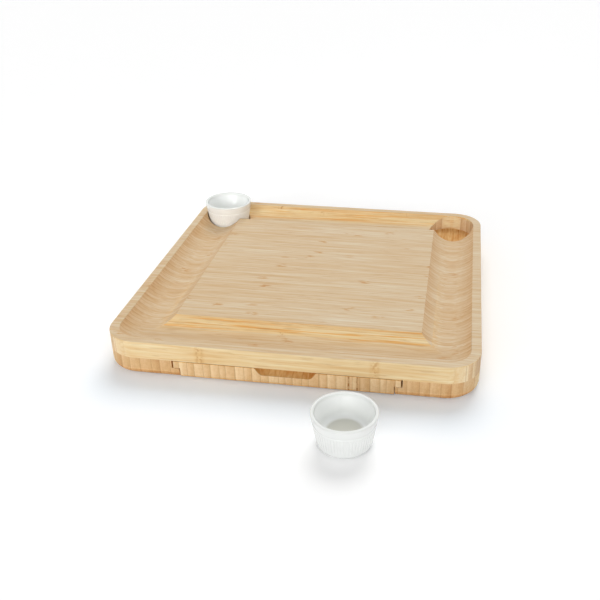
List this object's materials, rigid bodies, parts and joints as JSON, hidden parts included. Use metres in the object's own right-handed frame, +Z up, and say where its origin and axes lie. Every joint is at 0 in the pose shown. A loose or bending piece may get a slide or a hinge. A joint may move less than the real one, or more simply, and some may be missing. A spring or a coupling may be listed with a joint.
{
  "type": "cheese board",
  "caption": "Square laminated bamboo serving board with a channel round its plateau, round wells, porcelain ramekins and a shallow front drawer for cheese tools.",
  "frame": {"origin": "middle of the board's underside, on the surface it stands on", "axes": "+X to the right of the drawer front, +Y to the back where the wells are, +Z up; the drawer opens towards -Y"},
  "size_m": [0.33, 0.421, 0.048],
  "materials": {
    "bamboo_top": "oiled bamboo strips running left to right",
    "bamboo_base": "oiled bamboo strips running front to back",
    "bamboo_drawer": "oiled bamboo strips running front to back",
    "bamboo_handle": "smooth bamboo",
    "porcelain": "white glaze",
    "steel": "brushed stainless steel",
    "magnet": "nickel plated"
  },
  "bodies": {
    "board": {"top_slab": "bamboo_top", "base_slab": "bamboo_base", "base_magnets": "magnet"},
    "drawer": {"drawer_tray": "bamboo_drawer", "drawer_magnets": "magnet", "fork_blade": "steel", "fork_collar": "steel", "fork_handle": "bamboo_handle", "spreader_blade": "steel", "spreader_collar": "steel", "spreader_handle": "bamboo_handle", "plane_blade": "steel", "plane_collar": "steel", "plane_handle": "bamboo_handle", "point_blade": "steel", "point_collar": "steel", "point_handle": "bamboo_handle"},
    "ramekin_left": {"ramekin_left": "porcelain"},
    "ramekin_front": {"ramekin_front": "porcelain"}
  },
  "joints": [
    {"name": "drawer_slide", "type": "slide", "parent": "board", "child": "drawer", "axis": [0, -1, 0], "range_m": [0, 0.13]},
    {"name": "ramekin_left_lift", "type": "slide", "parent": "board", "child": "ramekin_left", "axis": [0, 0, 1], "range_m": [0, 0.06]},
    {"name": "ramekin_front_lift", "type": "slide", "parent": "drawer", "child": "ramekin_front", "axis": [0, 0, 1], "range_m": [0, 0.06]}
  ]
}
